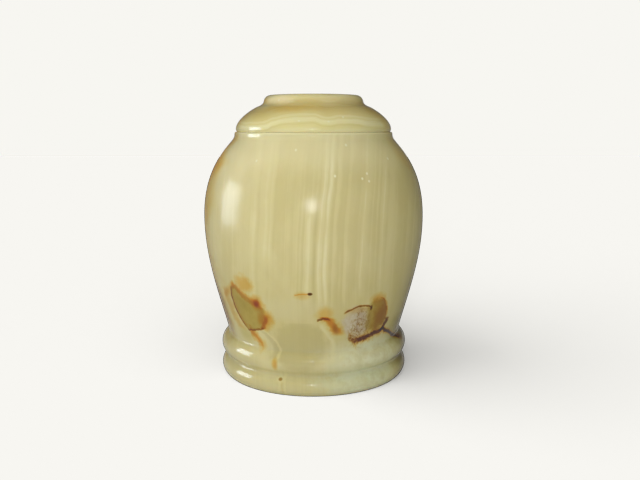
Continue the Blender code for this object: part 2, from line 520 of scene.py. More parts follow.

# %% [markdown]
# ## The vessel's layers
#
# Onyx marble is laid down by dripping water, layer on layer, so a cut shows stripes. In the vessel
# the layers stand upright, square to the viewer's left and right, and lean a little to the right
# towards the top. Each point's distance across the layers is called grain here. A slow warp makes the
# layers bend, and it grows towards the back, so that the sides and the back get figures of their own.
# Noise that depends on the grain alone gives stripes of every width, and a few broad ones are listed
# where the real vessel has them. A slow cloud makes all of them fade and return.

# %% Layers of the vessel
LEAN = 7.0
LEAN_FROM = 80.0
LEAN_OVER = 128.0
PALE_STRIPES = (
    # grain in mm, half width in mm, strength, lowest and highest height in mm
    (-48.0, 3.4, 0.30, 60, 215),
    (-37.0, 6.0, 0.20, 110, 215),
    (-5.0, 5.0, 0.30, 78, 150),
    (4.6, 3.0, 0.36, 66, 215),
    (9.4, 3.0, 0.32, 62, 215),
    (15.5, 2.2, 0.16, 120, 215),
    (24.2, 2.6, 0.26, 74, 215),
    (36.6, 2.2, 0.32, 84, 215),
    (52.0, 3.4, 0.18, 60, 200),
)
DARK_STRIPES = (
    (-31.0, 4.0, 0.12, 120, 200),
    (0.6, 2.8, 0.24, 84, 160),
    (13.0, 2.4, 0.14, 80, 215),
    (20.0, 3.2, 0.14, 120, 215),
    (31.0, 4.0, 0.16, 90, 215),
    (44.0, 5.0, 0.16, 80, 215),
)
LAYER_COLOURS = (
    (0.0, tint(206, 193, 132)),
    (0.35, tint(217, 205, 147)),
    (0.6, tint(225, 214, 158)),
    (0.85, tint(234, 225, 175)),
    (1.0, tint(240, 233, 192)),
)


def stripes(stone, grain, table):
    """The sum of soft stripes that are listed in a table."""
    total = 0.0
    for centre, half_width, strength, low, high in table:
        shape = (grain - centre).size().fall(0.0, half_width)
        ends = stone.height.rise(low - 8, low + 8) * stone.height.fall(high - 8, high + 8)
        total = shape * ends * strength + total
    return total


def upright_layers(stone):
    """The vessel's striped colour."""
    lean = (stone.height - LEAN_FROM) / LEAN_OVER
    behind = stone.y.rise(-70, 70)
    slow = cloud(stone, 55, stretch=(1, 1, 1.6), seed=1) * (behind * 16.0 + 1.5)
    quick = cloud(stone, 14, stretch=(1, 1, 3), seed=2) * 1.6
    grain = stone.x - lean * lean * LEAN + slow + quick
    fading = cloud(stone, 38, detail=3, stretch=(0.8, 0.8, 1.4), seed=6).rise(-0.35, 0.30)
    broad = streaks(stone, grain, 16.0, detail=1.0, seed=4.0)
    thin = streaks(stone, grain, 3.2, detail=3.0, roughness=0.6, seed=11.0)
    soft = cloud(stone, 24, detail=4, roughness=0.6, stretch=(1, 1, 1.6), seed=5)
    tone = broad * 0.22 + thin * (fading * 0.22 + 0.05) + soft * 0.26 + 0.47
    by_hand = stripes(stone, grain, PALE_STRIPES) - stripes(stone, grain, DARK_STRIPES)
    return ramp(stone, tone + by_hand * (fading * 0.6 + 0.45), 0.0, 1.0, LAYER_COLOURS)


print(len(PALE_STRIPES) + len(DARK_STRIPES), "stripes set by hand")

# %% [markdown]
# ## Drawing on the stone
#
# A vein is drawn as a line on the map of turn and height. A Float Curve node holds the line: it
# gives the height for each turn, or the turn for each height where the line is steep. What is left
# is the distance from the line, and a vein is wherever that distance is small. Noise added to the
# distance makes its edges ragged. A patch is a soft oval, measured the same way. The edges of a
# wide patch drift slowly, and those of a small one billow.

# %% Lines and patches
def drawn_curve(stone, field, points):
    """A drawn curve: for each value of the field, the value that the points give it."""
    low, high = points[0][0], points[-1][0]
    bottom = min(value for _, value in points)
    reach = max(max(value for _, value in points) - bottom, 0.001)
    spots = [((at - low) / (high - low), (value - bottom) / reach) for at, value in points]
    drawn = stone.node("ShaderNodeFloatCurve")
    line = drawn.mapping.curves[0]
    for spot in spots[1:-1]:
        line.points.new(*spot)
    line.points[0].location = spots[0]
    line.points[-1].location = spots[-1]
    drawn.mapping.update()
    share = (field - low) / (high - low)
    stone.connect(share, drawn.inputs["Value"])
    return Field(stone, drawn.outputs[0]) * reach + bottom, share


def course(stone, points, along="turn"):
    """How far a point is off a drawn line, in mm, and how far along it, from 0 to 1."""
    if along == "turn":
        found, share = drawn_curve(stone, stone.turn, sorted(points))
        return stone.height - found, share
    flipped = sorted((height, turn) for turn, height in points)
    found, share = drawn_curve(stone, stone.height, flipped)
    return (stone.turn - found) * stone.degree, share


def vein(stone, line, width, blur=0.5, ragged=1.0, ends=(0.1, 0.9), aside=0.0):
    """How much of a vein shows: 1 on its line, 0 outside its width in mm."""
    off, share = line
    off = (off - aside + stone.wobble * ragged).size() / (stone.swelling * 0.6 + 1.0)
    body = off.fall(width / 2 * (1 - blur), width / 2 * (1 + blur))
    return body * share.rise(-0.03, ends[0]) * share.fall(ends[1], 1.03)


def patch(stone, turn, height, half_round, half_height, blur=0.5, ragged=0.5, tilt=0, wide=False):
    """How much of a soft oval shows. Half sizes are in mm, and it leans right by tilt degrees."""
    across = (stone.turn - turn) * stone.degree
    up = stone.height - height
    lean_sin, lean_cos = math.sin(math.radians(tilt)), math.cos(math.radians(tilt))
    first = (across * lean_cos - up * lean_sin) / half_round
    second = (across * lean_sin + up * lean_cos) / half_height
    edge = stone.drift if wide else stone.billow
    distance = (first * first + second * second).power(0.5) + edge * ragged
    return distance.fall(1 - blur, 1 + blur)


def prepare_marks(stone):
    """The noises that all marks share, so that neighbouring edges wander together."""
    stone.wobble = cloud(stone, 6, detail=3, seed=21) * 1.5 + cloud(stone, 1.5, detail=2, seed=22) * 0.7
    stone.swelling = cloud(stone, 4, detail=2, seed=23)
    stone.billow = cloud(stone, 9, detail=5, roughness=0.65, seed=24)
    stone.drift = cloud(stone, 32, detail=2, seed=25)


def marked(stone, ground, *marks):
    """The ground with each (colour, share) mark laid over it in turn."""
    for colour, share in marks:
        ground = laid_over(stone, ground, colour, share)
    return ground


print("lines and patches are ready")

# %% [markdown]
# ## Stains
#
# A stain doesn't lie on the stone, it is in it, and light has to pass through it twice. So a stain
# takes away a share of the red, the green and the blue, and twice the stain takes that share twice.
# That is why rust goes from yellow over orange to brown by itself as it gets denser. Three pigments
# are enough here: rust, dark ore and the olive of clear stone. Each keeps a running total, and all
# are applied at the end. Stains that need nothing special are listed in tables, one to a row.

# %% Pigments
PIGMENTS = {
    # how quickly red, green and blue are lost
    "rust": (0.13, 0.78, 2.45),
    "ore": (1.30, 1.50, 1.80),
    "olive": (0.43, 0.50, 1.30),
}


def stain(stone, shown, **amounts):
    """Adds amounts of the pigments to the stone where a mark shows."""
    for pigment, amount in amounts.items():
        stone.stains[pigment] = shown * amount + stone.stains.get(pigment, 0.0)


def stain_patches(stone, table):
    """Stains soft ovals: each row has what patch needs, and then the pigments."""
    for *oval, amounts in table:
        stain(stone, patch(stone, *oval), **amounts)


def stain_veins(stone, line, *table):
    """Stains along a drawn line: each row has what vein needs, and then the pigments."""
    for *shape, amounts in table:
        stain(stone, vein(stone, line, *shape), **amounts)


def stained(stone, ground):
    """The ground seen through all the stains."""
    apart = stone.node("ShaderNodeSeparateColor")
    stone.connect(ground, apart.inputs[0])
    joined = stone.node("ShaderNodeCombineColor")
    for channel in range(3):
        depth = 0.0
        for pigment, losses in PIGMENTS.items():
            if pigment in stone.stains:
                depth = stone.stains[pigment] * losses[channel] + depth
        kept = stone.sum_of("EXPONENT", depth * -1.0)
        stone.connect(kept * Field(stone, apart.outputs[channel]), joined.inputs[channel])
    return Field(stone, joined.outputs[0])


for pigment, losses in PIGMENTS.items():
    print(pigment, "leaves", [round(math.exp(-loss), 2) for loss in losses])

# %% [markdown]
# ## Clouds in the vessel
#
# Iron and manganese in the water tinted whole areas of the stone: honey at the left edge, a greyer
# and clearer heart low in the front, a mist above it, and a greenish white cloud at the right of the
# foot. The honey at the left edge is partly painted light too, a warm glow of light through the stone
# from the left. The olive and dark ore that deepen towards the right edge are painted shade, on the
# side away from the light. The shoulder is paler than the belly, and the stone is darker and more
# olive towards the bottom. Pale clouds are laid over the stripes, and tinted ones are stains of low
# density.

# %% Vessel clouds
# The rust rows at the left edge are partly painted light, a warm glow through the stone, and the rows
# at turn 72 and 74 are painted shade on the right side.
VESSEL_STAINS_AND_PAINTED_LIGHT = (
    # turn, height, half sizes in mm, blur, raggedness, tilt, wide, pigments
    (-86, 130, 27, 96, 0.7, 1.0, 0, True, dict(rust=0.44)),
    (-88, 92, 26, 40, 0.7, 1.0, 0, True, dict(ore=0.16)),
    (-84, 190, 18, 16, 0.7, 1.0, 0, True, dict(rust=0.45)),
    (72, 198, 14, 18, 0.7, 1.0, 0, True, dict(rust=0.26)),
    (74, 112, 14, 42, 0.7, 1.0, 0, True, dict(olive=0.35)),
)


def vessel_clouds(stone, ground):
    """The stripes with the large clouds over them, the large tints in them and the painted shade at the
    right edge.
    """
    # Painted shade: olive and dark ore deepen towards the right edge, most of all low down, away from
    # the light.
    right = stone.turn.rise(20, 92) * stone.turn.fall(110, 170)
    limb = stone.turn.rise(52, 84) * stone.turn.fall(110, 150)
    stain(stone, right, olive=0.36)
    stain(stone, limb * stone.height.fall(55, 110), olive=1.10, ore=0.42)
    stain(stone, limb, ore=0.10)
    stain(stone, stone.height.fall(60, 120), olive=0.13)
    stain_patches(stone, VESSEL_STAINS_AND_PAINTED_LIGHT)

    blotch = stone.billow.rise(-0.35, 0.35)
    heart = patch(stone, -8, 42, 21, 20, blur=0.18, ragged=0.35) * stone.height.fall(60.5, 62)
    wide = dict(blur=0.7, ragged=1.0, wide=True)
    foot_cloud = patch(stone, 38, 28, 40, 15, blur=0.6, ragged=0.8)
    foot_cloud = (foot_cloud + patch(stone, 32, 8, 34, 10, blur=0.6, ragged=0.9)).fall(0.0, 1.0)
    return marked(
        stone, ground,
        (tint(250, 240, 190), stone.height.rise(172, 200) * 0.50),
        (tint(246, 236, 188), patch(stone, -50, 184, 26, 24, **wide) * 0.50),
        (tint(218, 213, 176), stone.height.fall(24, 60) * 0.38),
        (tint(240, 232, 186), patch(stone, -33, 42, 11, 14, **wide) * 0.50),
        (tint(240, 232, 186), patch(stone, -27, 22, 12, 9, **wide) * 0.45),
        (tint(228, 220, 180), patch(stone, -12, 71, 27, 12, **wide) * 0.42),
        (tint(192, 181, 126), heart * 0.42),
        (tint(240, 242, 214), (1.0 - foot_cloud) * (blotch * 0.65 + 0.35)),
        (tint(200, 214, 176), patch(stone, 26, 13, 28, 12, blur=0.8, ragged=0.9) * 0.25),
    )


print(len(VESSEL_STAINS_AND_PAINTED_LIGHT), "large soft stains in the vessel")

# %% [markdown]
# ## The leaf
#
# Low on the left a pocket of clear olive stone shows, shaped like a leaf. A thin dark line of iron
# runs round its left and lower side, and rust has crept into the stone above it and to its right.
# Its inside is cut out by the distances from its edges: right of the left edge, above the lower one,
# below the upper one and left of the right one.

# %% Leaf
LEAF_LEFT = (
    # turn in degrees, height in mm
    (-49.6, 86), (-50.4, 82), (-51.0, 77), (-50.8, 72),
    (-49.9, 66), (-48.2, 60), (-45.8, 55), (-43.0, 50.4),
)
LEAF_BELOW = ((-43.6, 51.0), (-41.5, 50.0), (-38.0, 50.6), (-35.0, 51.9), (-32.0, 52.8), (-29.8, 54.0))
LEAF_ABOVE = (
    (-49.5, 88.0), (-45.5, 86.0), (-43.0, 82.5), (-40.0, 79.6),
    (-37.0, 77.4), (-33.0, 75.2), (-29.0, 73.0),
)
LEAF_RIGHT = ((-31.2, 53.0), (-29.8, 56.5), (-28.4, 60.0), (-27.4, 63.5), (-27.0, 67.5))
LEAF_STRIP = ((-56.0, 84), (-56.4, 76), (-55.6, 68), (-54.0, 60), (-51.0, 53), (-48.0, 48))
LEAF_LIMB = ((-64.0, 84), (-63.6, 76), (-62.8, 70), (-62.0, 62))
LEAF_TOP = ((-61.0, 75.0), (-57.0, 78.0), (-53.0, 82.0), (-49.5, 86.0), (-46.0, 88.0))
DRIP = ((-41.8, 49.6), (-39.4, 47.6), (-37.2, 45.2), (-35.4, 42.4), (-33.6, 39.4), (-32.2, 36.0))
LEAF_STAINS = (
    # turn, height, half sizes in mm, blur, raggedness, tilt where there is one, pigments
    (-72, 64, 11, 24, 0.6, 0.5, -16, dict(rust=0.45, ore=0.45)),
    (-39.0, 90.5, 8.5, 6.5, 0.6, 0.9, dict(rust=0.48)),
    (-31.6, 75.4, 5.4, 5.2, 0.8, 0.8, dict(rust=0.75)),
    (-32.2, 75.6, 2.2, 2.8, 0.7, 0.5, 15, dict(rust=1.2, ore=0.30)),
    (-28.0, 62.0, 5.4, 7.0, 0.7, 0.9, 20, dict(rust=0.85)),
    (-33.2, 39.0, 3.2, 4.2, 0.8, 0.8, dict(rust=0.30)),
    (-46.5, 45.5, 8.0, 5.0, 0.8, 0.8, dict(olive=0.35)),
)


def leaf(stone):
    """The olive pocket with its iron line, its rust and the drip of rust below it."""
    left = course(stone, LEAF_LEFT, "height")
    below = course(stone, LEAF_BELOW)
    above = course(stone, LEAF_ABOVE)
    right = course(stone, LEAF_RIGHT, "height")
    ragged = stone.wobble
    inside = (left[0] + ragged).rise(0, 1) * (below[0] + ragged).rise(0, 1)
    inside = inside * (above[0] + ragged).fall(-2.5, 0.5) * (right[0] + ragged).fall(-3.5, 0.5)
    inside = inside * stone.height.rise(50, 51) * stone.height.fall(88, 89)
    stain(stone, inside * (stone.billow * 0.5 + 0.9), olive=1.0)
    stain(stone, inside, rust=0.16)
    stain_patches(stone, LEAF_STAINS)
    stain_veins(
        stone, left,
        (1.6, 0.5, 0.5, dict(rust=1.0)),
        (1.3, 0.5, 0.5, dict(ore=0.75)),
        (4.4, 0.9, 1.0, (0.1, 0.9), 0.8, dict(rust=0.35)),
    )
    stain_veins(stone, below, (2.0, dict(rust=0.9)), (1.5, dict(ore=0.55)))
    stain_veins(
        stone, above,
        (5.0, 0.8, 1.6, dict(rust=0.80)),
        (2.2, 0.7, 1.0, (0.2, 0.8), dict(ore=0.16)),
    )
    stain_veins(stone, right, (3.6, 0.7, 1.0, (0.05, 0.6), dict(rust=0.9, ore=0.20)))
    stain_veins(stone, course(stone, LEAF_TOP), (5.0, 0.9, 1.2, dict(rust=0.36)))
    strip = course(stone, LEAF_STRIP, "height")
    stain_veins(stone, strip, (9.0, 0.8, 1.2, dict(rust=0.32)), (8.0, 0.8, 1.2, dict(ore=0.03)))
    limb = course(stone, LEAF_LIMB, "height")
    stain_veins(stone, limb, (6.0, 0.8, 1.0, (0.4, 0.6), dict(rust=0.15)))
    stain_veins(
        stone, course(stone, DRIP),
        (8.5, 0.7, 1.6, (0.1, 0.8), dict(rust=0.60)),
        (3.4, 0.7, 1.4, (0.15, 0.5), dict(rust=0.50)),
    )


print("the leaf is", LEAF_ABOVE[0][1] - LEAF_BELOW[1][1], "mm high")

# %% [markdown]
# ## The comet and the grain
#
# Near the middle of the front is a comet of rust: a dark tip, a thick orange body that narrows as it
# runs down to the right, and a soft glow above it. Higher up sits a grain of dark ore with a faint
# tail. Both started as a crack that let iron water in.

# %% Comet
COMET_TIP = ((1.6, 64.3), (3.4, 64.9), (5.4, 65.4), (7.4, 64.9), (9.4, 62.6))
COMET_BODY = ((5.8, 67.0), (8.4, 63.6), (10.2, 60.2), (11.8, 56.8), (13.2, 53.4), (15.0, 49.0))
GRAIN_TAIL = ((-10.0, 85.4), (-6.0, 86.4), (-1.6, 86.8))
COMET_STAINS = (
    (5.6, 68.6, 5.4, 5.6, 0.8, 0.8, dict(rust=0.42)),
    (12.0, 56.5, 1.8, 4.4, 0.8, 0.8, -20, dict(ore=0.30)),
    (-6.4, 85.0, 5.0, 2.6, 0.8, 0.8, dict(rust=0.26)),
    (-1.9, 86.8, 1.7, 1.1, 0.4, 0.3, dict(rust=1.0, ore=1.3)),
)


def comet(stone):
    """The comet of rust, the dark grain above it and its tail."""
    stain_patches(stone, COMET_STAINS)
    stain_veins(
        stone, course(stone, COMET_BODY, "height"),
        (9.0, 0.7, 1.8, (0.35, 0.92), 0.6, dict(rust=0.45)),
        (6.4, 0.6, 1.4, (0.30, 0.97), dict(rust=0.75)),
    )
    stain_veins(
        stone, course(stone, COMET_TIP),
        (2.2, 0.5, 1.0, (0.1, 0.8), dict(rust=0.7)),
        (1.5, 0.5, 1.0, (0.1, 0.7), dict(ore=0.8)),
    )
    stain_veins(stone, course(stone, GRAIN_TAIL), (1.2, 0.5, 0.5, dict(rust=0.5)))


print("the comet is", COMET_BODY[0][1] - COMET_BODY[-1][1], "mm high")

# %% [markdown]
# ## The shell and the maroon vein
#
# Low on the right is the largest mark: a shell of pinkish grey stone under a thin maroon arch, a
# mustard lobe beside it, and below both a thick maroon vein that forks and runs on round the foot.
# The vein is built up in a wide brown stain, a broken beginning and a dark body, because a single
# flat line would look painted on.

# %% Shell
ARCH = (
    (16.4, 69.2), (18.8, 71.0), (21.0, 72.3), (24.0, 73.8),
    (27.0, 74.1), (30.0, 73.6), (32.0, 72.6), (33.2, 70.2),
)
LOBE_RIGHT = ((36.5, 80.0), (40.6, 77.6), (43.6, 73.0), (45.4, 67.5), (46.2, 62.0), (46.0, 56.0))
THICK_VEIN = (
    (20.6, 48.8), (22.6, 46.2), (25.0, 44.1), (28.0, 43.9), (32.0, 45.2),
    (36.0, 46.5), (40.0, 47.0), (44.0, 48.4), (46.8, 51.0),
)
HOOK = ((44.6, 47.6), (45.8, 50.6), (47.2, 54.0), (47.8, 57.0), (47.0, 60.0))
FORK = (
    (45.0, 49.6), (49.0, 47.4), (52.0, 45.4), (56.0, 42.6),
    (60.0, 39.9), (65.0, 37.0), (70.0, 34.9), (77.0, 32.4),
)
SHELL_STAINS = (
    (24.5, 71.0, 8.0, 2.2, 0.8, 0.5, dict(rust=0.22)),
    (36.6, 78.6, 6.0, 3.6, 0.8, 0.8, dict(rust=0.55)),
    (32.8, 71.4, 1.0, 2.0, 0.6, 0.4, dict(rust=0.8, ore=0.9)),
    (62, 47, 13, 9, 0.8, 0.8, dict(olive=0.55)),
)


def shell_veins(stone):
    """The arch, and the thick vein with its hook and its fork."""
    arch = course(stone, ARCH)
    stain_veins(stone, arch, (1.8, 0.5, 0.4, dict(rust=0.9)), (1.2, 0.5, 0.4, dict(ore=0.75)))
    thick = course(stone, THICK_VEIN)
    broken = cloud(stone, 2.2, detail=2, seed=33).rise(-0.25, 0.12)
    begin = vein(stone, thick, 5.4, blur=0.5, ragged=2.2, ends=(0.05, 0.35)) * broken
    stain(stone, begin, rust=0.9, ore=0.45)
    stain_veins(
        stone, thick,
        (8.0, 0.7, 2.4, (0.2, 0.95), dict(rust=0.45)),
        (3.4, 0.45, 1.5, (0.45, 0.97), dict(rust=1.5, ore=1.05)),
    )
    hook = course(stone, HOOK, "height")
    stain_veins(stone, hook, (3.6, 0.5, 1.3, (0.1, 0.75), dict(rust=1.4, ore=1.1)))
    stain_veins(
        stone, course(stone, FORK),
        (4.4, 0.7, 1.0, (0.04, 0.85), dict(rust=0.9)),
        (2.6, 0.5, 1.2, (0.04, 0.45), dict(rust=1.0, ore=1.5)),
    )


def shell(stone, ground):
    """The pale parts of the shell; its stains are added at the same time."""
    right = course(stone, LOBE_RIGHT, "height")
    lobe = (right[0] + stone.wobble).fall(-0.8, 0.8)
    lobe = lobe * patch(stone, 38.6, 64.0, 12.0, 15.0, blur=0.22, ragged=0.45, tilt=-8)
    deep = lobe * patch(stone, 41.2, 63.0, 7.0, 12.0, blur=0.7, ragged=0.8)
    squiggles = cloud(stone, 2.8, detail=2, stretch=(1, 1, 1.8), seed=31).size().fall(0.02, 0.12)
    squiggles = squiggles * patch(stone, 27.2, 56.5, 8.0, 14.0, blur=0.6, ragged=0.8)
    stain(stone, lobe, olive=0.9, rust=0.25)
    stain(stone, deep, olive=0.7, rust=0.65)
    stain(stone, squiggles, rust=0.30, ore=0.30)
    stain_patches(stone, SHELL_STAINS)
    stain_veins(stone, right, (2.4, 0.8, 1.0, (0.3, 0.9), dict(rust=0.6)))
    shell_veins(stone)

    inside = patch(stone, 25.6, 59.4, 12.0, 13.8, blur=0.25, ragged=0.4, tilt=-6)
    clouds = cloud(stone, 4.5, detail=4, roughness=0.6, seed=32).rise(-0.3, 0.3)
    mist = patch(stone, 20.8, 60.0, 5.0, 10.0, blur=0.7, ragged=0.9) * clouds
    flush = inside * patch(stone, 27.4, 60.0, 5.0, 12.0, blur=0.7, ragged=0.9) * clouds
    return marked(
        stone, ground,
        (tint(204, 188, 166), inside * 0.80),
        (tint(222, 214, 196), mist * 0.85),
        (tint(176, 148, 134), flush * 0.55),
    )


print("the fork runs", FORK[-1][0] - FORK[0][0], "degrees round the foot")

# %% [markdown]
# ## Pale threads, and a little more at the foot
#
# Healed cracks show as thin pale threads. Two start under the leaf and the comet and swing down
# towards the foot. On the rings themselves are an orange streak, a small dark pit with a pale ring
# round it and the pale lines below. The tiny bright flecks on the shoulder are painted glints, small
# highlights painted into the colour. The seam gets a pale line of painted light, which lightens the
# shade in its fine crease.

# %% Threads, foot and painted glints
LEFT_THREAD = (
    (-30.0, 51.6), (-27.2, 49.0), (-24.6, 45.6), (-22.4, 41.6),
    (-21.3, 37.6), (-20.8, 33.6), (-21.8, 29.6),
)
RIGHT_THREAD = (
    (3.4, 61.6), (5.0, 57.0), (7.0, 52.6), (9.6, 48.0),
    (11.8, 43.0), (12.2, 38.0), (11.2, 33.0), (10.0, 28.0),
)
FOOT_LINES = (
    ((-20.6, 1), (-20.2, 7), (-19.9, 14), (-19.6, 21)),
    ((-16.2, 1), (-16.4, 7), (-16.8, 14), (-17.0, 21)),
)
FOOT_CRACK = ((-17.6, 1), (-18.2, 6), (-18.8, 12))
PIT = (-19.9, 13.0)
FOOT_STAINS = (
    (-23.0, 26.2, 1.8, 4.2, 0.7, 0.4, dict(rust=0.50)),
    (-21.8, 25.8, 1.4, 3.6, 0.8, 0.4, dict(rust=0.25)),
    (*PIT, 1.4, 1.0, 0.5, 0.3, dict(rust=0.4, ore=0.45)),
)
# Painted glints: bright spots that stand in for small highlights on the polish.
PAINTED_GLINT_COLOUR = tint(250, 246, 214)
PAINTED_GLINTS = (
    (-10.4, 196.5), (20.4, 200.1), (10.7, 177.4), (28.3, 178.6),
    (28.6, 172.9), (25.0, 175.0), (-33.0, 188.0), (47.0, 189.0),
)


def seam_painted_light(stone):
    """A pale line painted along the seam between the vessel and the lid: painted light over the shade
    of its fine crease.
    """
    return tint(252, 240, 190), (stone.height - VESSEL_TOP / MM).size().fall(0.5, 1.8) * 0.80


def threads_and_painted_glints(stone, ground):
    """Pale healed cracks, the small marks of the foot, the painted glints and the painted light along
    the seam.
    """
    left = course(stone, LEFT_THREAD, "height")
    right = course(stone, RIGHT_THREAD, "height")
    stain_veins(stone, left, (5.0, 0.8, 1.0, (0.1, 0.9), -3.4, dict(ore=0.10)))
    stain_veins(stone, course(stone, FOOT_CRACK, "height"), (1.2, dict(rust=0.06)))
    stain_patches(stone, FOOT_STAINS)
    marks = [
        (tint(236, 226, 172), vein(stone, left, 2.6, blur=0.8) * 0.65),
        (tint(234, 228, 184), vein(stone, right, 3.0, blur=0.8) * 0.55),
        (tint(238, 230, 184), patch(stone, *PIT, 3.4, 2.4, blur=0.6) * 0.50),
    ]
    for points in FOOT_LINES:
        line = course(stone, points, "height")
        marks.append((tint(232, 224, 172), vein(stone, line, 2.0, blur=0.8) * 0.5))
    marks.append(seam_painted_light(stone))
    # Painted glints.
    for turn, height in PAINTED_GLINTS:
        marks.append((PAINTED_GLINT_COLOUR, patch(stone, turn, height, 0.8, 0.9, blur=0.6, ragged=0.3) * 0.85))
    return marked(stone, ground, *marks)


print(len(PAINTED_GLINTS), "bright flecks on the vessel")

# %% [markdown]
# ## Veins on the hidden side
#
# The back isn't in any picture, so it is finished in keeping with the front, and plainer. Where a
# slow noise passes through zero there is a thin crooked line, and that makes a good vein. These show
# only in a belt above the foot, where the front has its veins too, and only round the back.

# %% Veins of the back
def back_veins(stone):
    """A belt of thin iron veins round the back, with a warm stain along them."""
    belt = stone.turn.size().rise(86, 112) * stone.height.rise(30, 48) * stone.height.fall(66, 92)
    crooked = cloud(stone, 34, detail=4, roughness=0.55, stretch=(1, 1, 0.7), seed=41).size()
    shown = belt * cloud(stone, 18, detail=2, seed=42).rise(-0.15, 0.25)
    stain(stone, crooked.fall(0.0, 0.20) * shown, rust=0.36)
    stain(stone, crooked.fall(0.0, 0.035) * shown, rust=0.65)
    stain(stone, crooked.fall(0.0, 0.025) * shown, ore=0.55)
    pocket = cloud(stone, 46, detail=3, seed=43).rise(0.22, 0.27) * belt
    stain(stone, pocket, olive=0.8, rust=0.1)


print("the back has a belt of veins from 30 to 92 mm")

# %% [markdown]
# ## The lid's layers
#
# In the lid the layers lie level, so its grain is the height, bent by a long wave. A pale band swings
# over the front, rising in the middle and dipping to the right of it, and a tan band lies above it
# under the disc.

# %% Layers of the lid
LID_WAVE = (
    # distance from the axis to the right in mm, rise of the layers in mm
    (-66, -5.5), (-41, -4.2), (-32, -1.2), (-15, 1.6), (-2, 1.9),
    (12, -0.6), (22, 0.8), (47, -1.6), (66, -3.0),
)
LID_COLOURS = (
    # height in mm, colour
    (203.0, tint(236, 224, 164)),
    (210.5, tint(240, 229, 170)),
    (213.2, tint(236, 224, 160)),
    (215.0, tint(230, 218, 152)),
    (216.4, tint(242, 232, 174)),
    (218.4, tint(246, 237, 182)),
    (220.2, tint(236, 224, 160)),
    (221.4, tint(242, 231, 172)),
    (223.2, tint(232, 217, 149)),
    (227.0, tint(225, 207, 136)),
    (229.5, tint(218, 198, 126)),
    (232.0, tint(222, 204, 136)),
    (235.5, tint(230, 216, 154)),
    (238.5, tint(234, 222, 164)),
    (242.0, tint(220, 206, 150)),
)
# The rust rows at the left are partly painted light, a warm glow through the stone, and the row at turn
# 72 is painted shade on the right.
LID_STAINS_AND_PAINTED_LIGHT = (
    (-88, 222, 22, 12, 0.7, 1.0, 0, True, dict(rust=0.30)),
    (-84, 234, 10, 5, 0.8, 0.8, dict(rust=0.36)),
    (-20, 228.5, 22, 2.6, 0.8, 0.7, dict(rust=0.16)),
    (72, 221, 14, 12, 0.8, 1.0, 0, True, dict(rust=0.26)),
)
# Painted glints on the lid.
LID_PAINTED_GLINTS = ((22.2, 221.5), (-10.2, 218.6), (-41.5, 235.4), (10.5, 218.0))


def level_layers(stone):
    """The lid's banded colour."""
    wave, _ = drawn_curve(stone, stone.x, LID_WAVE)
    behind = stone.y.rise(-50, 30)
    slow = cloud(stone, 48, detail=1, seed=51) * (behind * 4.5 + 0.6)
    quick = cloud(stone, 9, detail=2, stretch=(1, 1, 0.6), seed=52) * 0.9
    grain = stone.height - wave * (1.0 - behind * 0.6) + slow + quick
    fading = cloud(stone, 22, detail=2, seed=54).rise(-0.3, 0.3)
    thin = streaks(stone, grain, 1.4, detail=3, roughness=0.6, seed=53)
    lowest, highest = LID_COLOURS[0][0], LID_COLOURS[-1][0]
    colour = ramp(stone, grain + thin * fading * 1.6, lowest, highest, LID_COLOURS)
    return marked(stone, colour, (tint(242, 234, 192), thin.fall(-0.5, -0.05) * fading * 0.35))


def lid_clouds(stone, ground):
    """Honey at the left of the lid, partly painted light, darker tan at its right as painted shade, a
    pale patch of painted light on the disc's left, and a few painted glints.
    """
    stain_patches(stone, LID_STAINS_AND_PAINTED_LIGHT)
    # Painted shade: olive deepens towards the right of the lid, away from the light.
    stain(stone, stone.turn.rise(35, 90) * stone.turn.fall(110, 165), olive=0.30)
    marks = [
        # A pale patch of painted light on the left of the disc, where the light falls.
        (tint(250, 236, 188), patch(stone, -42, 236.5, 14, 3.4, blur=0.8, ragged=0.8) * 0.75),
        seam_painted_light(stone),
    ]
    # Painted glints.
    for turn, height in LID_PAINTED_GLINTS:
        marks.append((PAINTED_GLINT_COLOUR, patch(stone, turn, height, 0.8, 0.6, blur=0.6, ragged=0.3) * 0.7))
    return marked(stone, ground, *marks)


print(len(LID_COLOURS), "layers of the lid")

# %% [markdown]
# ## The polish, and what lies under it
#
# Polished onyx lets light a few millimetres in, which Subsurface does: red goes furthest, so the
# shaded side turns warmer and not greyer. The mouldings took a mirror polish, while the large belly is
# slightly hazy. Where the stone was never polished it scatters light at its surface, so it is paler
# and dull, and it still shows the fine ridges of the turning tool.

# %% Finish
DULL = 0.62  # roughness where the stone was never polished
BELLY_HAZE = 0.25  # roughness under the polish of the belly
MOULDING_SHINE = 0.15  # roughness under the polish of the foot, the rim and the lid
BELLY_GLAZE = 0.10  # weight of the mirror coat on the belly
MOULDING_GLAZE = 0.50
RIDGE_PITCH = 1.6  # mm
RIDGE_DEPTH = 0.05  # mm
PORE_DEPTH = 0.0015  # mm, on polished stone


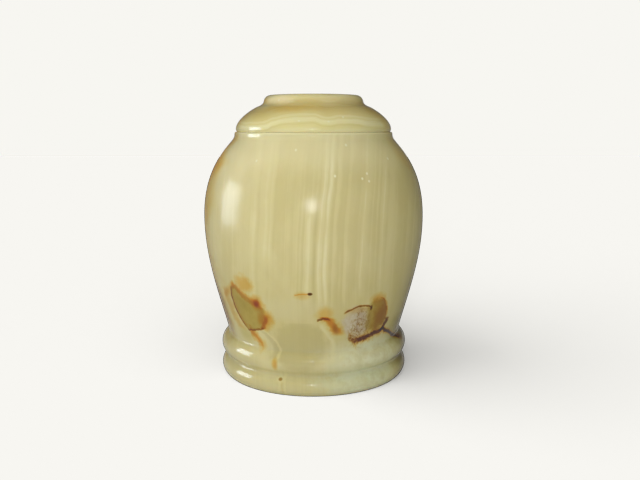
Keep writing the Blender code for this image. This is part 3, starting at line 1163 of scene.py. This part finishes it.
def finish_stone(stone, colour):
    """Connects the colour and the polish to the stone's shader."""
    mark = stone.node("ShaderNodeAttribute", attribute_type="GEOMETRY", attribute_name="polish")
    polish = Field(stone, mark.outputs["Fac"]).rise(0.2, 0.8)
    grain = cloud(stone, 1.3, detail=3, roughness=0.7, seed=61)
    raw = laid_over(stone, colour, tint(236, 229, 206), grain * 0.10 + 0.45)
    stone.connect(laid_over(stone, raw, colour, polish), stone.shader.inputs["Base Color"])

    belly = stone.height.rise(38, 60) * stone.height.fall(185, 203)
    haze = belly * (BELLY_HAZE - MOULDING_SHINE) + MOULDING_SHINE
    haze = haze + cloud(stone, 12, detail=3, seed=62) * 0.02
    stone.connect(polish * haze + (1.0 - polish) * DULL, stone.shader.inputs["Roughness"])
    glaze = polish * (belly * (BELLY_GLAZE - MOULDING_GLAZE) + MOULDING_GLAZE)
    stone.connect(glaze, stone.shader.inputs["Coat Weight"])

    ridges = stone.sum_of("SINE", (stone.height + stone.radius) * (2 * math.pi / RIDGE_PITCH))
    relief = (1.0 - polish) * (ridges + grain) * RIDGE_DEPTH + polish * grain * PORE_DEPTH
    bump = stone.node("ShaderNodeBump")
    bump.inputs["Distance"].default_value = MM
    bump.inputs["Strength"].default_value = 1.0
    stone.connect(relief, bump.inputs["Height"])
    stone.tree.links.new(bump.outputs[0], stone.shader.inputs["Normal"])

    inputs = stone.shader.inputs
    inputs["IOR"].default_value = 1.57
    inputs["Subsurface Weight"].default_value = 0.4
    inputs["Subsurface Radius"].default_value = (1.0, 0.75, 0.35)
    inputs["Subsurface Scale"].default_value = 10 * MM
    inputs["Coat Roughness"].default_value = 0.035
    inputs["Coat IOR"].default_value = 1.5
    return stone.material


def new_stone(name):
    """An empty stone material with its coordinates and noises ready."""
    stone = Stone(name)
    stone.stains = {}
    place(stone)
    prepare_marks(stone)
    return stone


def vessel_material():
    """The stone of the vessel, with all its marks."""
    stone = new_stone("onyx_vessel_stone")
    colour = vessel_clouds(stone, upright_layers(stone))
    colour = threads_and_painted_glints(stone, colour)
    colour = shell(stone, colour)
    leaf(stone)
    comet(stone)
    back_veins(stone)
    return finish_stone(stone, stained(stone, colour))


def lid_material():
    """The stone of the lid."""
    stone = new_stone("onyx_lid_stone")
    colour = lid_clouds(stone, level_layers(stone))
    return finish_stone(stone, stained(stone, colour))


STONES = {"vessel": vessel_material(), "lid": lid_material()}
for node, material in STONES.items():
    print(material.name, "has", len(material.node_tree.nodes), "nodes")

# %% [markdown]
# ## Putting the pieces in their places
#
# Each fine piece takes the place of its plain model, moves with the same body and gets its stone
# material.

# %% Dressing the model
for node, piece in pieces.items():
    piece.data.materials.clear()
    piece.data.materials.append(STONES[node])
    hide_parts(node)
    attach(piece, "root")
    print(piece.name, "stands for", node)

# %% [markdown]
# ## The studio
#
# The floor is a large sheet of pale paper that only shows the urn's soft shadow, so that it runs into
# the pale surroundings without an edge. The surroundings look white to the camera but light the
# stone only gently. In its reflections they are nearly dark high up, which keeps the polish deep,
# and a little brighter towards the horizon, so that no line shows where the floor ends.

# %% Floor and surroundings
FLOOR_HALF = 4.0
BACKDROP = tint(247, 246, 241)
PAPER = tint(226, 225, 218)
AMBIENT = 0.24
MIRRORED = 0.03
MIRRORED_LOW = 0.17
GLOW_ENDS = 0.5  # height of a direction of length 1

floor_mesh = bpy.data.meshes.new("floor")
corners = [(-1, -1, 0), (1, -1, 0), (1, 1, 0), (-1, 1, 0)]
floor_mesh.from_pydata([Vector(corner) * FLOOR_HALF for corner in corners], [], [(0, 1, 2, 3)])
floor = bpy.data.objects.new("floor", floor_mesh)
bpy.context.scene.collection.objects.link(floor)
floor.is_shadow_catcher = True
paper = bpy.data.materials.new("pale_paper")
paper.use_nodes = True
shader = paper.node_tree.nodes["Principled BSDF"]
shader.inputs["Base Color"].default_value = PAPER
shader.inputs["Roughness"].default_value = 1.0
shader.inputs["Specular IOR Level"].default_value = 0.0
floor_mesh.materials.append(paper)

world = bpy.data.worlds.new("studio")
bpy.context.scene.world = world
world.use_nodes = True
tree = world.node_tree
background = tree.nodes["Background"]
background.inputs["Color"].default_value = tint(255, 255, 252)
seen = tree.nodes.new("ShaderNodeBackground")
seen.inputs["Color"].default_value = BACKDROP
ray = tree.nodes.new("ShaderNodeLightPath")
dimmed = tree.nodes.new("ShaderNodeMapRange")
dimmed.inputs["To Min"].default_value = AMBIENT
direction = tree.nodes.new("ShaderNodeTexCoord")
apart = tree.nodes.new("ShaderNodeSeparateXYZ")
glow = tree.nodes.new("ShaderNodeMapRange")
glow.inputs["From Max"].default_value = GLOW_ENDS
glow.inputs["To Min"].default_value = MIRRORED_LOW
glow.inputs["To Max"].default_value = MIRRORED
tree.links.new(direction.outputs["Generated"], apart.inputs[0])
tree.links.new(apart.outputs["Z"], glow.inputs["Value"])
tree.links.new(glow.outputs[0], dimmed.inputs["To Max"])
tree.links.new(ray.outputs["Is Glossy Ray"], dimmed.inputs["Value"])
tree.links.new(dimmed.outputs[0], background.inputs["Strength"])
choice = tree.nodes.new("ShaderNodeMixShader")
tree.links.new(ray.outputs["Is Camera Ray"], choice.inputs[0])
tree.links.new(background.outputs[0], choice.inputs[1])
tree.links.new(seen.outputs[0], choice.inputs[2])
tree.links.new(choice.outputs[0], tree.nodes["World Output"].inputs[0])
print("the backdrop is", [round(value, 3) for value in BACKDROP[:3]])

# %% [markdown]
# ## Light
#
# The stone was lit from high on the left and from the front, softly. Two things are mirrored in it: a
# window straight to its left, and a small lamp just above the camera, with a soft fill of its own.
# The soft lights are left out of the reflections, so that only those two show in the polish.

# %% Lamps
AIM = Vector((0.0, 0.0, 0.13))
LAMP_AT = (-0.018, -0.62, 0.275)
DAYLIGHT = (0.86, 0.94, 1.0)


def soft_light(name, size, power, at, colour=(1.0, 1.0, 1.0), glossy=False, diffuse=True):
    """A flat lamp that faces the middle of the urn."""
    lamp = bpy.data.lights.new(name, "AREA")
    lamp.shape = "RECTANGLE"
    lamp.size, lamp.size_y = size
    lamp.energy = power
    lamp.color = colour
    made = bpy.data.objects.new(name, lamp)
    bpy.context.scene.collection.objects.link(made)
    made.location = at
    made.rotation_euler = (AIM - Vector(at)).to_track_quat("-Z", "Y").to_euler()
    made.visible_glossy = glossy
    made.visible_diffuse = diffuse
    return made


soft_light("high_left", (1.5, 1.5), 5.0, (-1.0, -0.2, 0.9))
soft_light("high_front", (1.5, 1.5), 3.8, (0.0, -0.8, 1.1))
soft_light("front_left", (1.0, 1.0), 1.4, (-0.8, -0.8, 0.5))
soft_light("front_fill", (0.3, 0.3), 0.45, LAMP_AT)
soft_light("small_lamp", (0.03, 0.06), 0.36, LAMP_AT, glossy=True)
soft_light("window", (0.5, 0.6), 4.4, (-1.2, 0.05, 0.26), DAYLIGHT, glossy=True, diffuse=False)
print("lamps:", [light.name for light in bpy.data.lights])

# %% [markdown]
# ## Camera
#
# The camera stands a little above the urn's shoulder, about two thirds of a metre from its axis, and
# looks slightly down.

# %% Camera
LENS = 39.94  # mm
SENSOR = 36.0  # mm
CAMERA_AT = (0.0, -0.6215, 0.2169)
LOOKS_DOWN = 9.358  # degrees
LOOKS_RIGHT = 0.516

camera_data = bpy.data.cameras.new("camera")
camera_data.lens = LENS
camera_data.sensor_width = SENSOR
camera = bpy.data.objects.new("camera", camera_data)
bpy.context.scene.collection.objects.link(camera)
camera.location = CAMERA_AT
camera.rotation_euler = (math.radians(90 - LOOKS_DOWN), 0.0, math.radians(-LOOKS_RIGHT))
bpy.context.scene.camera = camera
bpy.context.scene.view_settings.view_transform = "Standard"
print("camera distance", round(Vector(CAMERA_AT).length, 3), "m")
